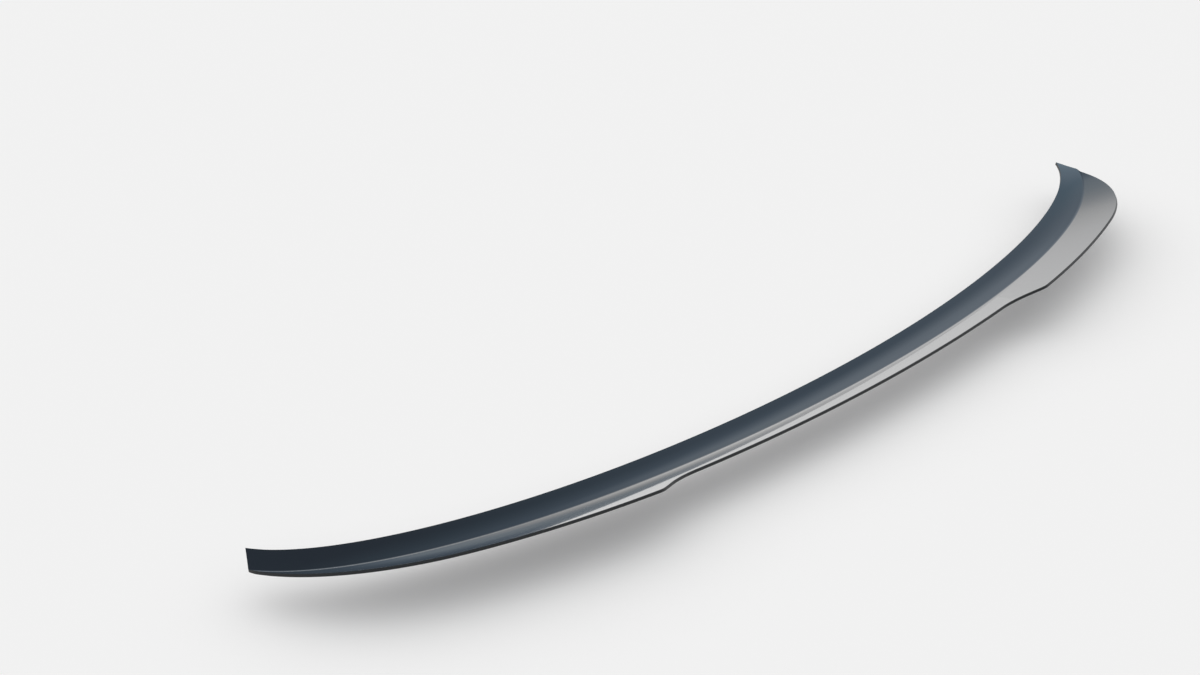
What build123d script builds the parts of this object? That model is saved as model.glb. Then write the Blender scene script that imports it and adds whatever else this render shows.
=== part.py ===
"""Stick-on rear spoiler lip for a car's boot lid: a formed sheet with foam tape and a red release liner.

The sheet has a shallow V section: a flange that lies on the lid and a blade that kicks up behind it. The
corner between them follows a bowed line, and the section turns and narrows along that line to the tips.
Frame: X across the car, Y forwards, Z up. The origin is the middle of the tape's sticking face.
"""
from build123d import *
from math import asin, cos, degrees, radians, sin
import os

# Bow of the corner line, in plan an ellipse that runs a little past the tips
HALF_WIDTH = 600.0         # mid-plane to the tip of the corner line
BOW_OVERRUN = 17.0         # ellipse's half-axis beyond the tip
TIP_FORWARD = 159.5        # tip ahead of the corner line's middle
TIP_RISE = 6.0             # tip above the corner line's middle
RISE_POWER = 7.0

# Formed sheet
SHEET = 3.0
CORNER_RADIUS = 9.0        # inside radius of the corner at mid-plane
CORNER_RADIUS_TIP = 3.0
FLANGE_WIDTH = 36.2        # free edge to corner line at mid-plane
FLANGE_WIDTH_TIP = 23.4
NARROWING_POWER = 3.5
FLANGE_TILT_TIP = 17.0     # flange is level at mid-plane and its free edge lifts towards the tips
TILT_POWER = 2.5
KICK = 22.4                # blade's turn out of the flange's plane at mid-plane
KICK_TIP = 42.0
KICK_POWER = 2.3

# Trailing edge: blade widths, and places along the corner line from mid-plane
BLADE_WIDTH = 35.1         # at mid-plane
STEP_START = 241.0
STEP_START_WIDTH = 36.3
STEP_END = 273.0
WING_WIDTH = 60.7          # at the step's end
WING_TAPER_MIDDLE = 2.1    # narrower than at the step's end, half-way to the shoulder
SHOULDER = 457.5           # where the wing starts to round off to the tip
SHOULDER_TAPER = 4.7       # narrower there than at the step's end
STEP_BEND_RADIUS = 64.0
STEP_CORNER_RADIUS = 14.0
END_CUT = 39.5             # end cut's lean from straight ahead, looking square on to the blade

# Tape and its liner
TAPE_WIDTH = 16.5
TAPE_THICKNESS = 1.1
TAPE_MARGIN = 8.3          # flange's free edge to the tape, at mid-plane
TAPE_MARGIN_TIP = 6.0
TAPE_END_GAP = 22.5        # end cut to the tape's end, which is parallel to it
LINER_THICKNESS = 0.2

SECTIONS_PER_SIDE = 10
os.makedirs("parts", exist_ok=True)

# The corner line's right half, from mid-plane to past the tip, so that the sheet can be trimmed there
bow_across = HALF_WIDTH + BOW_OVERRUN
tip_turn = asin(HALF_WIDTH / bow_across)
bow_forward = TIP_FORWARD / (1 - cos(tip_turn))
middle = Vector(0, TAPE_MARGIN + TAPE_WIDTH / 2 - FLANGE_WIDTH, TAPE_THICKNESS)
ellipse = dict(center=(middle.X, middle.Y + bow_forward), x_radius=bow_across, y_radius=bow_forward)
to_tip = EllipticalCenterArc(**ellipse, start_angle=-90, arc_size=degrees(tip_turn))
past_tip = EllipticalCenterArc(**ellipse, start_angle=-90, arc_size=(degrees(tip_turn) + 90) / 2)
HALF_LENGTH = to_tip.length
RUN_OUT = 0.6 * (past_tip.length - HALF_LENGTH)


def along(place, at_middle, at_tip, power):
    """A size at a place along the corner line, from its values at mid-plane and at the tip."""
    return at_middle + (at_tip - at_middle) * (abs(place) / HALF_LENGTH) ** power


def kick(place):
    """Blade's turn out of the flange's plane, in radians."""
    return radians(along(place, KICK, KICK_TIP, KICK_POWER))


def station(place):
    """Section plane at a place along the corner line: x towards the free edge, y out of the upper face."""
    spot = past_tip.position_at(abs(place) / past_tip.length)
    heading = past_tip.tangent_at(abs(place) / past_tip.length)
    side = -1 if place < 0 else 1
    slope = TIP_RISE * RISE_POWER / HALF_LENGTH * (abs(place) / HALF_LENGTH) ** (RISE_POWER - 1)
    run = Vector(heading.X, side * heading.Y, side * slope).normalized()
    ahead = Vector(-run.Y, run.X, 0).normalized()
    tilt = along(place, 0, FLANGE_TILT_TIP, TILT_POWER)
    rise = along(place, 0, TIP_RISE, RISE_POWER)
    corner = Vector(side * spot.X, spot.Y, middle.Z + rise)
    return Plane(corner, x_dir=ahead.rotate(Axis((0, 0, 0), run), tilt), z_dir=run)


def flange_width(place):
    """Free edge to corner line."""
    return along(place, FLANGE_WIDTH, FLANGE_WIDTH_TIP, NARROWING_POWER)


def sheet_line(place):
    """Lower side of the V section, with a blade that is longer than any trimmed one."""
    turn, reach = kick(place), 1.2 * max(WING_WIDTH, BLADE_WIDTH)
    radius = SHEET + along(place, CORNER_RADIUS, CORNER_RADIUS_TIP, NARROWING_POWER)
    with BuildLine(station(place)) as section:
        FilletPolyline((flange_width(place), 0), (0, 0), (-reach * cos(turn), reach * sin(turn)), radius=radius)
    return section.wire()


def strip_section(place, top, bottom):
    """Section of a strip along the flange's underside, between two heights below or above that face."""
    outer = flange_width(place) - along(place, TAPE_MARGIN, TAPE_MARGIN_TIP, NARROWING_POWER)
    inner = outer - TAPE_WIDTH
    with BuildSketch(station(place)) as section:
        with BuildLine():
            Polyline((outer, top), (inner, top), (inner, bottom), (outer, bottom), close=True)
        make_face()
    return section.sketch


def edge_point(place, width):
    """Trailing edge at a place along the corner line and a blade width, seen on the trimming plane."""
    turn = kick(place)
    spot = station(place).from_local_coords(Vector(-width * cos(turn), width * sin(turn)))
    seen = trimming.to_local_coords(spot)
    return Vector(seen.X, seen.Y)


def places(half_span):
    """Evenly spaced section places from the left end to the right end."""
    return [half_span * step / SECTIONS_PER_SIDE for step in range(-SECTIONS_PER_SIDE, SECTIONS_PER_SIDE + 1)]


# Outline that trims the sheet, drawn along the blade's plane at mid-plane: the stepped trailing edge, rounded
# off to the tips, and straight end cuts
trimming = Plane(middle, x_dir=(1, 0, 0), z_dir=(0, sin(radians(KICK)), cos(radians(KICK))))
step_in, step_out = edge_point(STEP_START, STEP_START_WIDTH), edge_point(STEP_END, WING_WIDTH)
wing_middle = edge_point((STEP_END + SHOULDER) / 2, WING_WIDTH - WING_TAPER_MIDDLE)
shoulder, tip = edge_point(SHOULDER, WING_WIDTH - SHOULDER_TAPER), edge_point(HALF_LENGTH, 0)
cut_way = 4 * FLANGE_WIDTH * Vector(-sin(radians(END_CUT)), cos(radians(END_CUT)))
cut_end = tip + cut_way
with BuildSketch(trimming) as outline:
    with BuildLine():
        ThreePointArc(edge_point(-STEP_START, STEP_START_WIDTH), edge_point(0, BLADE_WIDTH), step_in)
        with BuildLine(mode=Mode.PRIVATE) as right_side:
            Line(step_in, step_out)
            wing = ThreePointArc(step_out, wing_middle, shoulder)
            TangentArc(shoulder, tip, tangent=wing % 1)
            Polyline(tip, cut_end, (0, cut_end.Y))
        add(right_side.line)
        add(mirror(right_side.line, about=Plane.YZ))
    make_face()
    for corner, radius in ((step_in, STEP_BEND_RADIUS), (step_out, STEP_CORNER_RADIUS)):
        for side in (-1, 1):
            fillet(outline.vertices().sort_by_distance((side * corner.X, corner.Y))[0], radius)

# The sheet's lower face is trimmed first and then thickened, so that its edges stay square to it all round
lower_face = Shell.make_loft([sheet_line(place) for place in places(HALF_LENGTH + RUN_OUT)])
trimmed = lower_face & extrude(outline.sketch, amount=4 * FLANGE_WIDTH, both=True)
spoiler_body = Solid.thicken(Shell(trimmed.faces()), SHEET)

# The tape takes its upper face from the flange, its ends run parallel to the end cuts, and the liner covers
# its lower face
tape_corner = tip + TAPE_END_GAP * Vector(-cos(radians(END_CUT)), -sin(radians(END_CUT)))
low, high = tape_corner - 2 * cut_way, tape_corner + cut_way
with BuildSketch(trimming) as tape_outline:
    with BuildLine():
        Polyline((low.X, low.Y), (high.X, high.Y), (-high.X, high.Y), (-low.X, low.Y), close=True)
    make_face()
tape_zone = extrude(tape_outline.sketch, amount=4 * FLANGE_WIDTH, both=True)


def strip(top, bottom):
    """A strip along the flange's underside, between two heights above or below that face."""
    return loft([strip_section(place, top, bottom) for place in places(HALF_LENGTH)]) & tape_zone


adhesive_tape = strip(SHEET / 2, -TAPE_THICKNESS) - spoiler_body
release_liner = strip(-TAPE_THICKNESS, -TAPE_THICKNESS - LINER_THICKNESS)

export_step(spoiler_body, "parts/spoiler_body.step")
export_step(adhesive_tape, "parts/adhesive_tape.step")
export_step(release_liner, "parts/release_liner.step")
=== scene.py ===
"""Looks of a stick-on rear spoiler lip: a gloss formed sheet, its foam tape and the red release liner.

X runs across the car, Y forwards and Z up. The lip's sizes are in millimetres until its meshes are made,
and those of the floor, the camera and the bumps are in metres.
"""

import bpy
import numpy as np
from mathutils import Matrix, Vector


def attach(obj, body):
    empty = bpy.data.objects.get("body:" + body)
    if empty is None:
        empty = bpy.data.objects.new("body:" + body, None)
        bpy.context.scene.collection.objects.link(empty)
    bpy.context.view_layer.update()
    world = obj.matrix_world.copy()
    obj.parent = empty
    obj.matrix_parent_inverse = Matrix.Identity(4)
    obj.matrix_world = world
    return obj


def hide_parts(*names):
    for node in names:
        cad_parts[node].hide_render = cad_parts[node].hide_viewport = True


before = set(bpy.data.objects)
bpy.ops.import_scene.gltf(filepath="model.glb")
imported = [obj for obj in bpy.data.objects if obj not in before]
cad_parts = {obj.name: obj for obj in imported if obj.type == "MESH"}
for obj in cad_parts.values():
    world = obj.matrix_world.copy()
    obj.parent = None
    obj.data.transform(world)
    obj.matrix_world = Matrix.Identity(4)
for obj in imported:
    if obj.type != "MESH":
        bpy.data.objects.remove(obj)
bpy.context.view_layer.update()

# Formed sheet
# The lip is one sheet of black plastic, drawn hot over a former into a shallow V and trimmed with a router.
# A flat flange sits on the boot lid. Behind a soft corner, the blade kicks up to the stepped trailing edge.
HALF_WIDTH = 600.0
BOW_ACROSS = 617.0
BOW_REACH, BOW_SAMPLES = 0.97, 6000  # share of the ellipse's quarter turn that is followed
TIP_FORWARD = 159.5
TIP_RISE, RISE_POWER = 8.3, 4.8
SHEET = 3.0
CORNER_RADIUS, CORNER_RADIUS_TIP = 9.0, 3.0
FLANGE_WIDTH, FLANGE_WIDTH_TIP, NARROWING_POWER = 37.0, 23.1, 3.6
FLANGE_TILT_TIP, TILT_POWER = 14.7, 2.5
KICK, KICK_TIP, KICK_POWER = 22.4, 39.4, 2.45
CORNER_DRIFT, DRIFT_POWER = 3.0, 3.0
HOLLOW_TURN, HOLLOW_TURN_TIP, HOLLOW_POWER = 7.5, 1.5, 8.0
HOLLOW_START, HOLLOW_SPAN = 0.25, 0.55  # shares of the flange's width
TAPE_WIDTH, TAPE_THICKNESS = 16.5, 1.1
TAPE_MARGIN, TAPE_MARGIN_TIP = 9.1, 5.7
MIDDLE_Y, MIDDLE_Z = TAPE_MARGIN + TAPE_WIDTH / 2 - FLANGE_WIDTH, TAPE_THICKNESS

tip_turn = np.arcsin(HALF_WIDTH / BOW_ACROSS)
bow_forward = TIP_FORWARD / (1 - np.cos(tip_turn))
bow_turns = np.linspace(0, BOW_REACH * np.pi / 2, BOW_SAMPLES)
bow_steps = np.hypot(np.diff(BOW_ACROSS * np.sin(bow_turns)), np.diff(bow_forward * np.cos(bow_turns)))
bow_lengths = np.concatenate([[0], np.cumsum(bow_steps)])
HALF_LENGTH = np.interp(tip_turn, bow_turns, bow_lengths)


def along(place, at_middle, at_tip, power):
    """A size along the corner line: its middle value, plus a power of the distance times the change."""
    return at_middle + (at_tip - at_middle) * (np.abs(place) / HALF_LENGTH) ** power


def corner_frames(place):
    """Points of the corner line, with the flange's forward and upward directions there.

    In plan the line is an ellipse, measured by its length from the middle, and it rises as a power of that
    length. The forward direction is level and square to the line, then turned about the line by the flange's
    tilt. Towards the tips the corner drifts back from the ellipse, in the flange's plane.
    """
    side, far = np.where(place < 0, -1.0, 1.0), np.abs(place)
    turn = np.interp(far, bow_lengths, bow_turns)
    spot = np.stack([side * BOW_ACROSS * np.sin(turn), MIDDLE_Y + bow_forward * (1 - np.cos(turn)),
                     MIDDLE_Z + along(place, 0, TIP_RISE, RISE_POWER)], -1)
    slope = TIP_RISE * RISE_POWER / HALF_LENGTH * (far / HALF_LENGTH) ** (RISE_POWER - 1)
    heading = np.stack([BOW_ACROSS * np.cos(turn), side * bow_forward * np.sin(turn)], -1)
    heading /= np.linalg.norm(heading, axis=-1, keepdims=True)
    run = np.concatenate([heading, (side * slope)[..., None]], -1)
    run /= np.linalg.norm(run, axis=-1, keepdims=True)
    level = np.stack([-heading[..., 1], heading[..., 0], 0 * far], -1)
    square = np.cross(run, level)
    tilt = np.radians(along(place, 0, FLANGE_TILT_TIP, TILT_POWER))[..., None]
    ahead = np.cos(tilt) * level + np.sin(tilt) * square
    drift = along(place, 0, CORNER_DRIFT, DRIFT_POWER)[..., None]
    return spot - drift * ahead, ahead, np.cos(tilt) * square - np.sin(tilt) * level


def section_sizes(place):
    """Sizes of the section, in this order: the flange's width, the corner's radius below, the turns of the
    blade and of the hollow, the flange's slope at the corner, and the developed distances from the free
    edge to the start and the end of the corner's arc."""
    width = (along(place, FLANGE_WIDTH, FLANGE_WIDTH_TIP, NARROWING_POWER)
             + along(place, 0, CORNER_DRIFT, DRIFT_POWER))
    radius = SHEET + along(place, CORNER_RADIUS, CORNER_RADIUS_TIP, NARROWING_POWER)
    kick = np.radians(along(place, KICK, KICK_TIP, KICK_POWER))
    hollow = np.radians(along(place, HOLLOW_TURN, HOLLOW_TURN_TIP, HOLLOW_POWER))
    inner = hollow * (HOLLOW_START + HOLLOW_SPAN / 2)
    flat = width - radius * np.tan((kick - inner) / 2)
    return width, radius, kick, hollow, inner, flat, flat + radius * (kick - inner)


def sheet_lower(place, across):
    """Points of the sheet's lower face and its upward normals.

    across is the developed distance from the flange's free edge: along the flange, whose slope grows evenly
    over a shallow hollow so that its two edges stay level, round the corner's arc, then up the blade.
    """
    spot, ahead, up = corner_frames(place)
    width, radius, kick, hollow, inner, flat, blade_start = section_sizes(place)
    on_flange = np.minimum(across, flat)
    start, span = HOLLOW_START * width, HOLLOW_SPAN * width
    curved = np.clip(on_flange - start, 0, span)
    climb = curved ** 2 / (2 * span) + np.clip(on_flange - start - span, 0, None)
    bend = inner + np.clip((across - flat) / radius, 0, kick - inner)
    blade = np.clip(across - blade_start, 0, None)
    x = width - on_flange - radius * (np.sin(bend) - np.sin(inner)) - blade * np.cos(kick)
    y = ((inner - hollow) * on_flange + hollow * climb + radius * (np.cos(inner) - np.cos(bend))
         + blade * np.sin(kick))
    lean = np.where(across < flat, inner - hollow + hollow * curved / span, bend)
    points = spot + x[..., None] * ahead + y[..., None] * up
    return points, np.sin(lean)[..., None] * ahead + np.cos(lean)[..., None] * up


def on_trimming_plane(points):
    """Across and forward coordinates on the plane along the middle blade, in which the outline is drawn."""
    lean = np.radians(KICK)
    forward, rise = points[..., 1] - MIDDLE_Y, points[..., 2] - MIDDLE_Z
    return points[..., 0], forward * np.cos(lean) - rise * np.sin(lean)


# Trailing edge, drawn in the trimming plane from blade widths at places along the corner line. The tip lies
# just short of that line's end and a little ahead of it, so the crease runs out into the trailing edge.
BLADE_WIDTH = 35.1
STEP_START, STEP_START_WIDTH, STEP_END = 241.0, 36.3, 273.0
WING_WIDTH, WING_TAPER_MIDDLE = 60.3, 2.4
SHOULDER, SHOULDER_TAPER = 457.5, 4.4
TIP_SHORT, TIP_BLADE = 1.0, -1.2
STEP_BEND_RADIUS, STEP_CORNER_RADIUS = 64.0, 14.0
END_CUT = np.radians(36.3)


def edge_point(place, width):
    """Trailing edge on the trimming plane, at a blade width up from the sharp corner of flange and blade."""
    spot, ahead, up = corner_frames(np.array(place))
    turn = np.radians(along(place, KICK, KICK_TIP, KICK_POWER))
    return np.array(on_trimming_plane(spot - width * np.cos(turn) * ahead + width * np.sin(turn) * up))


def arc_below(x, centre, radius):
    """Lower half of a circle as a height over x."""
    return centre[1] - np.sqrt(np.clip(radius ** 2 - (x - centre[0]) ** 2, 0, None))


def circle_through(a, b, c):
    """Centre and radius of the circle through three points, from the two equations of equal distance."""
    centre = np.linalg.solve(2 * np.array([b - a, c - a]), [b @ b - a @ a, c @ c - a @ a])
    return centre, np.linalg.norm(a - centre)


def rolled(height, radius, step):
    """Fills the dips of a curve as a ball rolled along it leaves them: up to its centre, then down again."""
    half = int(radius / step)
    ball = np.sqrt(radius ** 2 - (np.arange(-half, half + 1) * step) ** 2)
    windows = np.lib.stride_tricks.sliding_window_view
    raised = (windows(np.pad(height, half, mode="edge"), 2 * half + 1) + ball).max(-1)
    return (windows(np.pad(raised, half, mode="edge"), 2 * half + 1) - ball).min(-1)


step_in, step_out = edge_point(STEP_START, STEP_START_WIDTH), edge_point(STEP_END, WING_WIDTH)
wing_middle = edge_point((STEP_END + SHOULDER) / 2, WING_WIDTH - WING_TAPER_MIDDLE)
shoulder = edge_point(SHOULDER, WING_WIDTH - SHOULDER_TAPER)
tip = edge_point(HALF_LENGTH - TIP_SHORT, TIP_BLADE)
stretch_centre, stretch_radius = circle_through(step_in * [-1, 1], edge_point(0.0, BLADE_WIDTH), step_in)
wing_centre, wing_radius = circle_through(step_out, wing_middle, shoulder)
inward = (wing_centre - shoulder) / wing_radius
tail_radius = (tip - shoulder) @ (tip - shoulder) / (2 * (tip - shoulder) @ inward)
tail_centre = shoulder + tail_radius * inward
EDGE_STEP = 0.25
edge_x = np.arange(0, tip[0] + EDGE_STEP / 2, EDGE_STEP)
edge_y = np.where(edge_x < step_in[0], arc_below(edge_x, stretch_centre, stretch_radius),
                  np.where(edge_x < shoulder[0], arc_below(edge_x, wing_centre, wing_radius),
                           arc_below(edge_x, tail_centre, tail_radius)))
on_step = (edge_x >= step_in[0]) & (edge_x < step_out[0])
edge_y[on_step] = np.interp(edge_x[on_step], [step_in[0], step_out[0]], [step_in[1], step_out[1]])
near_step = (edge_x > step_in[0] - STEP_BEND_RADIUS) & (edge_x < step_out[0] + STEP_BEND_RADIUS)
edge_y = np.where(near_step, -rolled(-edge_y, STEP_BEND_RADIUS, EDGE_STEP), edge_y)
edge_y = np.where(near_step, rolled(edge_y, STEP_CORNER_RADIUS, EDGE_STEP), edge_y)


def from_end_cut(points):
    """Distance inside the straight end cuts, on the trimming plane."""
    x, y = on_trimming_plane(points)
    return np.cos(END_CUT) * (tip[0] - np.abs(x)) - np.sin(END_CUT) * (y - tip[1])


def inside_outline(points):
    """Positive inside the router's outline: ahead of the trailing edge and inside both end cuts."""
    x, y = on_trimming_plane(points)
    return np.minimum(y - np.interp(np.abs(x), edge_x, edge_y), from_end_cut(points))


def zero_place(values, places):
    """Place where each row of values first falls below zero, on a straight line between its two samples."""
    places = np.broadcast_to(places, values.shape)
    after = np.clip((values < 0).argmax(-1), 1, None)[..., None]
    low, high = np.take_along_axis(places, after - 1, -1), np.take_along_axis(places, after, -1)
    kept, lost = np.take_along_axis(values, after - 1, -1), np.take_along_axis(values, after, -1)
    return (low + (high - low) * kept / (kept - lost))[..., 0]


# Stations along the corner line, closer at the steps and towards the tips, out to the flange's end corners
END_SEARCH_BACK, END_SEARCH_AHEAD, END_SEARCH_STEPS = 5.0, 20.0, 500
STEP_MARGIN, TAIL_START, CREASE_END = 19.0, 560.0, 6.0
STATION_COUNTS, END_STATIONS, END_CLEARANCE = (80, 90, 110, 60, 20), 34, 0.04
far_places = np.linspace(HALF_LENGTH - END_SEARCH_BACK, HALF_LENGTH + END_SEARCH_AHEAD, END_SEARCH_STEPS)
end_place = zero_place(inside_outline(sheet_lower(far_places, 0 * far_places)[0]), far_places)
station_breaks = [0, STEP_START - STEP_MARGIN, STEP_END + STEP_MARGIN, TAIL_START, HALF_LENGTH - CREASE_END,
                  HALF_LENGTH]
half_stations = np.concatenate([np.linspace(start, end, count, endpoint=False) for start, end, count
                                in zip(station_breaks, station_breaks[1:], STATION_COUNTS)]
                               + [np.linspace(HALF_LENGTH, end_place - END_CLEARANCE, END_STATIONS)])
stations = np.concatenate([-half_stations[:0:-1], half_stations])

# Where the outline cuts each section, as a developed distance from the free edge
LONGEST_SECTION, SECTION_STEPS = 130.0, 900
reach = np.linspace(0, LONGEST_SECTION, SECTION_STEPS)
section_points = sheet_lower(stations[:, None], reach[None, :] + 0 * stations[:, None])[0]
cut_across = zero_place(inside_outline(section_points), reach)

# Rim: closed line of the cut and free edges, with the direction from it into the sheet. Its rounding fades
# towards the end corners, where the sections get short
EDGE_ROUND = 0.25
ROUND_FADE_END, ROUND_FADE, ROUND_LEAST = 2.0, 6.0, 0.12
ROUND_SHARE, ROUND_MARGIN = 0.03, 0.01
cut_low, cut_normal = sheet_lower(stations, cut_across)
free_low, free_normal = sheet_lower(stations, 0 * stations)
rim = np.concatenate([cut_low, free_low[::-1]])
rim_normal = np.concatenate([cut_normal, free_normal[::-1]])
rim_way = np.roll(rim, -1, axis=0) - np.roll(rim, 1, axis=0)
rim_way /= np.linalg.norm(rim_way, axis=1, keepdims=True)
rim_inward = np.cross(rim_normal, rim_way)
cut_inward, free_inward = rim_inward[:len(stations)], rim_inward[:len(stations) - 1:-1]
round_fade = np.clip((HALF_LENGTH - ROUND_FADE_END - np.abs(stations)) / ROUND_FADE, ROUND_LEAST, 1)
round_off = np.minimum(EDGE_ROUND * round_fade, ROUND_SHARE * cut_across + ROUND_MARGIN)[:, None]

# Rows across the sheet: over the flange, round the corner and up the blade, drawn in where the blade runs out
FLANGE_ROWS, CORNER_ROWS, BLADE_ROWS, ROUND_ROWS = 12, 9, 9, 4
LEAST_BLADE = 1.0
flange_flat, blade_start = section_sizes(stations)[-2:]
drawn_in = np.minimum(1, cut_across / (blade_start + LEAST_BLADE))


def rows_between(start, end, count):
    """Evenly spaced distances between two per-station distances, without the last."""
    share = np.arange(count) / count
    return start[:, None] + (end - start)[:, None] * share[None, :]


row_across = np.concatenate([
    rows_between(0 * stations, drawn_in * flange_flat, FLANGE_ROWS),
    rows_between(drawn_in * flange_flat, drawn_in * blade_start, CORNER_ROWS),
    rows_between(drawn_in * blade_start, cut_across, BLADE_ROWS)], 1)[:, 1:]
face_low, face_normal = sheet_lower(stations[:, None], row_across)


def rounded_rim(low, normal, inward_way):
    """Points and normals over one edge, from the upper face to the lower: a quarter circle, the straight cut
    and another quarter circle."""
    turns = np.linspace(0, np.pi / 2, ROUND_ROWS)[None, :, None]
    n, m, r = normal[:, None, :], inward_way[:, None, :], round_off[:, None, :]
    top_way, low_way = np.cos(turns) * n - np.sin(turns) * m, -np.cos(turns) * n - np.sin(turns) * m
    top = low[:, None, :] + SHEET * n - r * n + r * m + r * top_way
    bottom = low[:, None, :] + r * n + r * m + r * low_way
    return np.concatenate([top, bottom[:, ::-1]], 1), np.concatenate([top_way, low_way[:, ::-1]], 1)


cut_points, cut_ways = rounded_rim(cut_low, cut_normal, cut_inward)
free_points, free_ways = rounded_rim(free_low, free_normal, free_inward)
face_high = face_low + SHEET * face_normal
sheet_loops = np.concatenate([face_high, cut_points, face_low[:, ::-1], free_points[:, ::-1]], 1)
sheet_ways = np.concatenate([face_normal, cut_ways, -face_normal[:, ::-1], free_ways[:, ::-1]], 1)
rim_mask = np.concatenate([np.zeros(row_across.shape[1] + 1), np.ones(2 * ROUND_ROWS - 2), [0]] * 2)
MILLIMETRES_IN_METRE = 1000


def carried_mesh(name, loops, normals=None):
    """Closed skin over section loops carried along the run: quads between neighbours, and a cap at each end.

    The faces are turned round where the volume that they enclose comes out negative.
    """
    stops, points = loops.shape[:2]
    grid = np.arange(stops * points).reshape(stops, points)
    here, there = grid[:-1], grid[1:]
    quads = np.stack([here, np.roll(here, -1, 1), np.roll(there, -1, 1), there], -1).reshape(-1, 4)
    centre = loops[stops // 2].mean(0)
    a, b, c = (loops.reshape(-1, 3)[quads[:, k]] - centre for k in range(3))
    if (np.cross(a, b) * c).sum() < 0:
        quads, grid = quads[:, ::-1], grid[:, ::-1]
    mesh = bpy.data.meshes.new(name)
    mesh.from_pydata((loops.reshape(-1, 3) / MILLIMETRES_IN_METRE).tolist(), [],
                     quads.tolist() + [grid[0, ::-1].tolist(), grid[-1].tolist()])
    mesh.update()
    mesh.polygons.foreach_set("use_smooth", np.ones(len(mesh.polygons), dtype=bool))
    if normals is not None:
        ways = normals.reshape(-1, 3) / np.linalg.norm(normals.reshape(-1, 3), axis=1, keepdims=True)
        mesh.normals_split_custom_set_from_vertices(ways.tolist())
    piece = bpy.data.objects.new(name, mesh)
    bpy.context.scene.collection.objects.link(piece)
    return piece


lip = carried_mesh("formed_sheet", sheet_loops, sheet_ways)
cut_share = lip.data.attributes.new("router_cut", "FLOAT", "POINT")
cut_share.data.foreach_set("value", np.tile(rim_mask, len(stations)))


def shader_group(name, inputs, outputs):
    """An empty shader node group with named float sockets, and its input and output nodes."""
    group = bpy.data.node_groups.new(name, "ShaderNodeTree")
    for socket, value in inputs.items():
        entry = group.interface.new_socket(socket, in_out="INPUT", socket_type="NodeSocketFloat")
        entry.default_value = value
    for socket in outputs:
        group.interface.new_socket(socket, in_out="OUTPUT", socket_type="NodeSocketFloat")
    return group, group.nodes.new("NodeGroupInput"), group.nodes.new("NodeGroupOutput")


# Fine relief: two sizes of soft noise as one height, for orange peel, foam pores and film
FINE_TO_COARSE = 4.3
relief, relief_in, relief_out = shader_group("fine_relief", {"Scale": 100.0, "Coarse Share": 0.5}, ["Height"])
coords = relief.nodes.new("ShaderNodeTexCoord")
coarse, fine = relief.nodes.new("ShaderNodeTexNoise"), relief.nodes.new("ShaderNodeTexNoise")
finer = relief.nodes.new("ShaderNodeMath")
finer.operation, finer.inputs[1].default_value = "MULTIPLY", FINE_TO_COARSE
blend = relief.nodes.new("ShaderNodeMix")
relief.links.new(coords.outputs["Object"], coarse.inputs["Vector"])
relief.links.new(coords.outputs["Object"], fine.inputs["Vector"])
relief.links.new(relief_in.outputs["Scale"], coarse.inputs["Scale"])
relief.links.new(relief_in.outputs["Scale"], finer.inputs[0])
relief.links.new(finer.outputs[0], fine.inputs["Scale"])
relief.links.new(relief_in.outputs["Coarse Share"], blend.inputs["Factor"])
relief.links.new(fine.outputs["Fac"], blend.inputs["A"])
relief.links.new(coarse.outputs["Fac"], blend.inputs["B"])
relief.links.new(blend.outputs["Result"], relief_out.inputs["Height"])

# Handling haze: cloudy patches where fingers and packing foam have dulled a gloss, as a roughness
haze, haze_in, haze_out = shader_group("handling_haze", {"Scale": 9.0, "Clean": 0.1, "Hazed": 0.2},
                                       ["Roughness"])
coords = haze.nodes.new("ShaderNodeTexCoord")
clouds = haze.nodes.new("ShaderNodeTexNoise")
clouds.inputs["Detail"].default_value, clouds.inputs["Roughness"].default_value = 5.0, 0.62
spread = haze.nodes.new("ShaderNodeMapRange")
spread.inputs["From Min"].default_value, spread.inputs["From Max"].default_value = 0.42, 0.72
haze.links.new(coords.outputs["Object"], clouds.inputs["Vector"])
haze.links.new(haze_in.outputs["Scale"], clouds.inputs["Scale"])
haze.links.new(clouds.outputs["Fac"], spread.inputs["Value"])
haze.links.new(haze_in.outputs["Clean"], spread.inputs["To Min"])
haze.links.new(haze_in.outputs["Hazed"], spread.inputs["To Max"])
haze.links.new(spread.outputs["Result"], haze_out.inputs["Roughness"])


def new_material(name):
    """A node material with its Principled shader at hand."""
    material = bpy.data.materials.new(name)
    material.use_nodes = True
    return material, material.node_tree, material.node_tree.nodes["Principled BSDF"]


def placed(tree, group, **values):
    """A shader group placed in a material, with values for its named inputs."""
    node = tree.nodes.new("ShaderNodeGroup")
    node.node_tree = group
    for socket, value in values.items():
        node.inputs[socket.replace("_", " ")].default_value = value
    return node


def add_bump(tree, shader, height, strength, distance):
    """Feeds a height into the shader's normal."""
    bump = tree.nodes.new("ShaderNodeBump")
    bump.inputs["Strength"].default_value, bump.inputs["Distance"].default_value = strength, distance
    tree.links.new(height, bump.inputs["Height"])
    tree.links.new(bump.outputs["Normal"], shader.inputs["Normal"])


def colour_mix(tree, factor):
    """A node that goes from its colour A to its colour B by a factor."""
    mix = tree.nodes.new("ShaderNodeMix")
    mix.data_type = "RGBA"
    tree.links.new(factor, mix.inputs["Factor"])
    return mix


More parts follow.
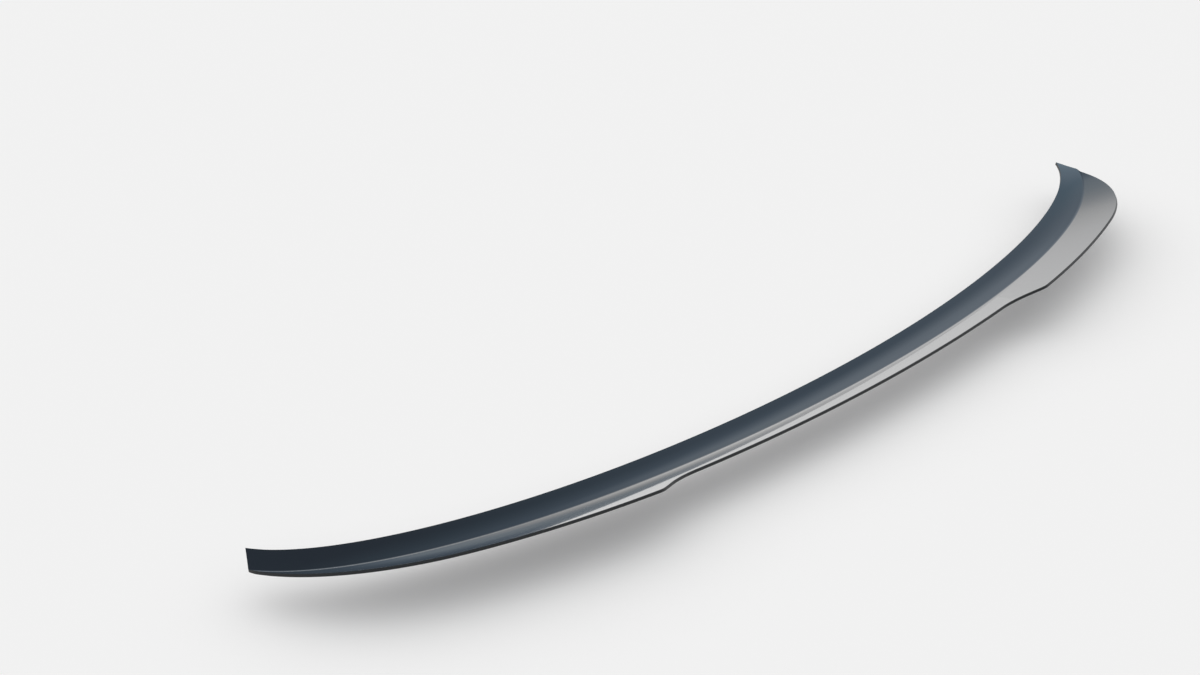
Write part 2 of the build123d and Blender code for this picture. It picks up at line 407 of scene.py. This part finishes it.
# Gloss slate-black plastic: a clear, faintly rippled skin over a blue-black body, dull where it was cut
SLATE, SLATE_PALE = (0.015, 0.020, 0.027, 1), (0.018, 0.024, 0.032, 1)
# The cut faces' grey, darker than the body's slate, is painted shade along the rim; their roughness and lack
# of coat are real
CUT_PAINTED_SHADE, CUT_ROUGHNESS = (0.006, 0.007, 0.008, 1), 0.45
gloss, tree, shader = new_material("gloss_slate_plastic")
shader.inputs["IOR"].default_value = 1.5
shader.inputs["Coat Roughness"].default_value = 0.02
shader.inputs["Coat IOR"].default_value = 1.5
peel = placed(tree, relief, Scale=260.0, Coarse_Share=0.8)
add_bump(tree, shader, peel.outputs["Height"], strength=0.04, distance=0.0004)
dulled = placed(tree, haze, Scale=7.0, Clean=0.05, Hazed=0.10)
cut = tree.nodes.new("ShaderNodeAttribute")
cut.attribute_name = "router_cut"
cut_rough = tree.nodes.new("ShaderNodeMix")
cut_rough.inputs["B"].default_value = CUT_ROUGHNESS
tree.links.new(cut.outputs["Fac"], cut_rough.inputs["Factor"])
tree.links.new(dulled.outputs["Roughness"], cut_rough.inputs["A"])
tree.links.new(cut_rough.outputs["Result"], shader.inputs["Roughness"])
cut_coat = tree.nodes.new("ShaderNodeMapRange")
cut_coat.inputs["To Min"].default_value, cut_coat.inputs["To Max"].default_value = 1.0, 0.0
tree.links.new(cut.outputs["Fac"], cut_coat.inputs["Value"])
tree.links.new(cut_coat.outputs["Result"], shader.inputs["Coat Weight"])
shade = placed(tree, relief, Scale=14.0, Coarse_Share=0.7)
slate = colour_mix(tree, shade.outputs["Height"])
slate.inputs["A"].default_value, slate.inputs["B"].default_value = SLATE, SLATE_PALE
# Painted shade: the cut faces take the darker grey instead of the slate, so the rim reads as shaded
painted_cut_shade = colour_mix(tree, cut.outputs["Fac"])
painted_cut_shade.inputs["B"].default_value = CUT_PAINTED_SHADE
tree.links.new(slate.outputs["Result"], painted_cut_shade.inputs["A"])
tree.links.new(painted_cut_shade.outputs["Result"], shader.inputs["Base Color"])
lip.data.materials.append(gloss)
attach(lip, "root")
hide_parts("spoiler_body")

# Adhesive tape
# One strip of dark acrylic foam, sticky on both faces, is rolled down along the underside of the flange.
# Its ends are cut parallel to the sheet's end cuts, and its long edges follow the flange's narrowing.
TAPE_END_GAP = 22.5
TAPE_EDGE = 0.15
STRIP_STATIONS, STRIP_ROWS, STRIP_ROUND_ROWS = 500, 9, 3
STRIP_SEARCH_START, STRIP_SEARCH_STEPS = 540.0, 1200


def strip_loops(top, bottom, edge):
    """Loops of a flat strip under the flange, between two heights below its face, with rounded long edges.

    A point's place along the run is a share of the place where its row meets the end line, which is
    parallel to the end cut.
    """
    turns = np.linspace(0, np.pi / 2, STRIP_ROUND_ROWS)
    low_side = bottom + edge * (1 - np.cos(turns))
    high_side = top - edge * (1 - np.cos(turns))
    into = edge * (1 - np.sin(turns))
    level = np.linspace(edge, TAPE_WIDTH - edge, STRIP_ROWS)[1:-1]
    depth = np.concatenate([into, into[::-1], level, TAPE_WIDTH - into, TAPE_WIDTH - into[::-1], level[::-1]])
    height = np.concatenate([high_side, low_side[::-1], bottom + 0 * level,
                             low_side, high_side[::-1], top + 0 * level])

    def spots(place):
        """The strip's points at places along the run: on the flange's face, then out along its normal."""
        margin = along(place, TAPE_MARGIN, TAPE_MARGIN_TIP, NARROWING_POWER)
        face, way = sheet_lower(place, margin + depth)
        return face + height[:, None] * way

    tries = np.linspace(STRIP_SEARCH_START, HALF_LENGTH, STRIP_SEARCH_STEPS)[:, None] + 0 * depth[None, :]
    ends = zero_place((from_end_cut(spots(tries)) - TAPE_END_GAP).T, tries.T)
    return spots(np.linspace(-1, 1, STRIP_STATIONS)[:, None] * ends[None, :])


tape = carried_mesh("foam_tape", strip_loops(0.0, -TAPE_THICKNESS, TAPE_EDGE))

# Dark foam: closed pores up to about a millimetre across, matt, with a slight mottle
FOAM_DARK, FOAM_PALE = (0.028, 0.019, 0.021, 1), (0.060, 0.036, 0.040, 1)
foam, tree, shader = new_material("dark_acrylic_foam")
shader.inputs["Specular IOR Level"].default_value = 0.25
pores = placed(tree, relief, Scale=900.0, Coarse_Share=0.55)
add_bump(tree, shader, pores.outputs["Height"], strength=0.5, distance=0.0004)
mottle = colour_mix(tree, pores.outputs["Height"])
mottle.inputs["A"].default_value, mottle.inputs["B"].default_value = FOAM_DARK, FOAM_PALE
tree.links.new(mottle.outputs["Result"], shader.inputs["Base Color"])
matt = placed(tree, haze, Scale=30.0, Clean=0.75, Hazed=0.95)
tree.links.new(matt.outputs["Roughness"], shader.inputs["Roughness"])
tape.data.materials.append(foam)
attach(tape, "root")
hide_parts("adhesive_tape")

# Release liner
# A thin red plastic film covers the tape's outer face until the lip is fitted, and is then peeled off.
# It is slit to the tape's width, so their edges lie flush.
LINER_THICKNESS = 0.2
LINER_EDGE = 0.05
liner_low = -TAPE_THICKNESS - LINER_THICKNESS
liner = carried_mesh("red_liner", strip_loops(-TAPE_THICKNESS, liner_low, LINER_EDGE))

# Red film: half-gloss, faintly uneven from the roll, with slight patches of a paler red. It casts no red
# light on the floor
FILM_RED, FILM_PALE = (0.72, 0.075, 0.095, 1), (0.80, 0.105, 0.125, 1)
film, tree, shader = new_material("red_release_film")
shader.inputs["IOR"].default_value = 1.45
ripple = placed(tree, relief, Scale=120.0, Coarse_Share=0.85)
add_bump(tree, shader, ripple.outputs["Height"], strength=0.08, distance=0.0006)
shade = placed(tree, relief, Scale=22.0, Coarse_Share=0.6)
red = colour_mix(tree, shade.outputs["Height"])
red.inputs["A"].default_value, red.inputs["B"].default_value = FILM_RED, FILM_PALE
tree.links.new(red.outputs["Result"], shader.inputs["Base Color"])
sheen = placed(tree, haze, Scale=12.0, Clean=0.3, Hazed=0.45)
tree.links.new(sheen.outputs["Roughness"], shader.inputs["Roughness"])
liner.data.materials.append(film)
liner.visible_diffuse = False
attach(liner, "root")
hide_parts("release_liner")

# Floor
# A plain pale studio floor, matt and faintly glowing, about 3 cm below the lip, so that the soft shadow falls
# clear of it. It is whiter to reflections, where the gloss shows it as bright ground.
FLOOR_DROP, FLOOR_REACH, FLOOR_GLOW = 0.029, 30.0, 0.12
FLOOR_PALE, WHITE = (0.86, 0.86, 0.86, 1), (1, 1, 1, 1)
floor_mesh = bpy.data.meshes.new("studio_floor")
corners = FLOOR_REACH * np.array([[-1, -1], [1, -1], [1, 1], [-1, 1]])
floor_mesh.from_pydata(np.column_stack([corners, np.full(4, -FLOOR_DROP)]).tolist(), [], [[0, 1, 2, 3]])
floor = bpy.data.objects.new("studio_floor", floor_mesh)
bpy.context.scene.collection.objects.link(floor)
pale, tree, shader = new_material("pale_floor")
shader.inputs["Roughness"].default_value = 1.0
shader.inputs["Specular IOR Level"].default_value = 0.0
path = tree.nodes.new("ShaderNodeLightPath")
ground = colour_mix(tree, path.outputs["Is Glossy Ray"])
ground.inputs["A"].default_value, ground.inputs["B"].default_value = FLOOR_PALE, WHITE
tree.links.new(ground.outputs["Result"], shader.inputs["Base Color"])
shader.inputs["Emission Color"].default_value = WHITE
shader.inputs["Emission Strength"].default_value = FLOOR_GLOW
floor_mesh.materials.append(pale)

# Studio light
# One wide soft light overhead, with a dim even fill. Reflections see a room with pale walls that darken to
# the ceiling, and other tones towards its right. The camera sees a plain pale background.
OVERHEAD_STRENGTH, OVERHEAD_SPREAD = 2.16, np.radians(140)
FILL, BACKGROUND = (0.2, 0.2, 0.2, 1), (0.88, 0.88, 0.88, 1)
CEILING = {0.67: (0.12, 0.17, 0.22), 0.80: (0.07, 0.09, 0.12)}
WALLS = {0.0: (0.90, 0.90, 0.90), 0.06: (0.80, 0.80, 0.79), 0.13: (0.74, 0.74, 0.73),
         0.22: (0.60, 0.61, 0.62), 0.31: (0.47, 0.53, 0.58), 0.40: (0.46, 0.54, 0.61),
         0.43: (0.37, 0.45, 0.54), 0.51: (0.21, 0.28, 0.36)}
RIGHT_WALL = {0.0: (0.92, 0.92, 0.92), 0.19: (0.92, 0.92, 0.92), 0.28: (0.48, 0.55, 0.63),
              0.43: (0.43, 0.51, 0.60), 0.51: (0.21, 0.28, 0.36)}
FAR_RIGHT_WALL = {0.0: (0.94, 0.94, 0.94), 0.10: (0.90, 0.90, 0.90), 0.22: (0.32, 0.43, 0.52),
                  0.36: (0.31, 0.41, 0.51), 0.46: (0.20, 0.31, 0.40), 0.51: (0.18, 0.28, 0.37)}
RIGHT_SPAN, FAR_RIGHT_SPAN = (0.59, 0.68), (0.77, 0.83)
overhead = bpy.data.lights.new("soft_overhead", "SUN")
overhead.energy, overhead.angle = OVERHEAD_STRENGTH, OVERHEAD_SPREAD
overhead_lamp = bpy.data.objects.new("soft_overhead", overhead)
overhead_lamp.visible_glossy = False
bpy.context.scene.collection.objects.link(overhead_lamp)
room = bpy.data.worlds.new("studio_room")
room.use_nodes = True
tree = room.node_tree
walls, output = tree.nodes["Background"], tree.nodes["World Output"]
direction = tree.nodes.new("ShaderNodeTexCoord")
parts = tree.nodes.new("ShaderNodeSeparateXYZ")
tree.links.new(direction.outputs["Generated"], parts.inputs["Vector"])


def room_tones(tones):
    """A colour ramp of the room's tones over the sine of the height above the horizon."""
    ramp = tree.nodes.new("ShaderNodeValToRGB")
    while len(ramp.color_ramp.elements) < len(tones):
        ramp.color_ramp.elements.new(1.0)
    for stop, (height, tone) in zip(ramp.color_ramp.elements, tones.items()):
        stop.position, stop.color = height, (*tone, 1)
    tree.links.new(parts.outputs["Z"], ramp.inputs["Fac"])
    return ramp.outputs["Color"]


tones = room_tones(WALLS | CEILING)
for (near, far), wall in ((RIGHT_SPAN, RIGHT_WALL), (FAR_RIGHT_SPAN, FAR_RIGHT_WALL)):
    sideways = tree.nodes.new("ShaderNodeMapRange")
    sideways.inputs["From Min"].default_value, sideways.inputs["From Max"].default_value = near, far
    tree.links.new(parts.outputs["X"], sideways.inputs["Value"])
    tone = colour_mix(tree, sideways.outputs["Result"])
    tree.links.new(tones, tone.inputs["A"])
    tree.links.new(room_tones(wall | CEILING), tone.inputs["B"])
    tones = tone.outputs["Result"]
tree.links.new(tones, walls.inputs["Color"])
fill, seen = tree.nodes.new("ShaderNodeBackground"), tree.nodes.new("ShaderNodeBackground")
fill.inputs["Color"].default_value, seen.inputs["Color"].default_value = FILL, BACKGROUND
path = tree.nodes.new("ShaderNodeLightPath")
mirrored, choice = tree.nodes.new("ShaderNodeMixShader"), tree.nodes.new("ShaderNodeMixShader")
tree.links.new(path.outputs["Is Glossy Ray"], mirrored.inputs["Fac"])
tree.links.new(fill.outputs["Background"], mirrored.inputs[1])
tree.links.new(walls.outputs["Background"], mirrored.inputs[2])
tree.links.new(path.outputs["Is Camera Ray"], choice.inputs["Fac"])
tree.links.new(mirrored.outputs["Shader"], choice.inputs[1])
tree.links.new(seen.outputs["Background"], choice.inputs[2])
tree.links.new(choice.outputs["Shader"], output.inputs["Surface"])
bpy.context.scene.world = room
bpy.context.scene.view_settings.view_transform = "Standard"

# Camera
# It stands behind the car's left corner, about two metres off, and looks down along the lip.
# Its axes are written out, because the picture is turned a little about the line of sight.
LENS, SENSOR, CLIP_END = 61.9, 36.0, 200.0
CAMERA_PLACE = Vector((-1.36200, -1.22834, 0.96768))
CAMERA_RIGHT, CAMERA_UP = Vector((0.735578, -0.674868, -0.058972)), Vector((0.338037, 0.290214, 0.895269))
camera_data = bpy.data.cameras.new("camera")
camera_data.lens, camera_data.sensor_width, camera_data.clip_end = LENS, SENSOR, CLIP_END
camera = bpy.data.objects.new("camera", camera_data)
camera_axes = Matrix((CAMERA_RIGHT, CAMERA_UP, CAMERA_RIGHT.cross(CAMERA_UP))).transposed()
camera.matrix_world = Matrix.Translation(CAMERA_PLACE) @ camera_axes.to_4x4()
bpy.context.scene.collection.objects.link(camera)
bpy.context.scene.camera = camera
